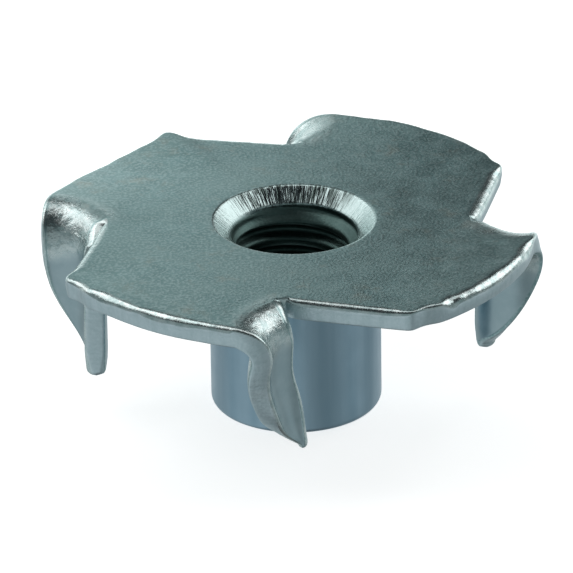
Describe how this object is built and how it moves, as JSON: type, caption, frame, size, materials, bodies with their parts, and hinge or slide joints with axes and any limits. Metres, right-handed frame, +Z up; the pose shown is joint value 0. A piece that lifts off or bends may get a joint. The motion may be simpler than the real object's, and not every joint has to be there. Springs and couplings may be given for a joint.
{
  "type": "tee nut",
  "caption": "Pronged tee nut: a thin round flange with a drawn, tapped barrel and curved prongs folded down out of its rim.",
  "frame": {"origin": "middle of the barrel's foot, at the lowest point of the nut", "axes": "+Z up the bore axis from the barrel's foot to the flat flange; +X through the inner corner of one notch"},
  "size_m": [0.0152, 0.0152, 0.006],
  "materials": {
    "zinc_steel": "blue-passivated zinc plating, satin, slightly mottled"
  },
  "bodies": {
    "root": {"tee_nut": "zinc_steel"}
  },
  "joints": []
}
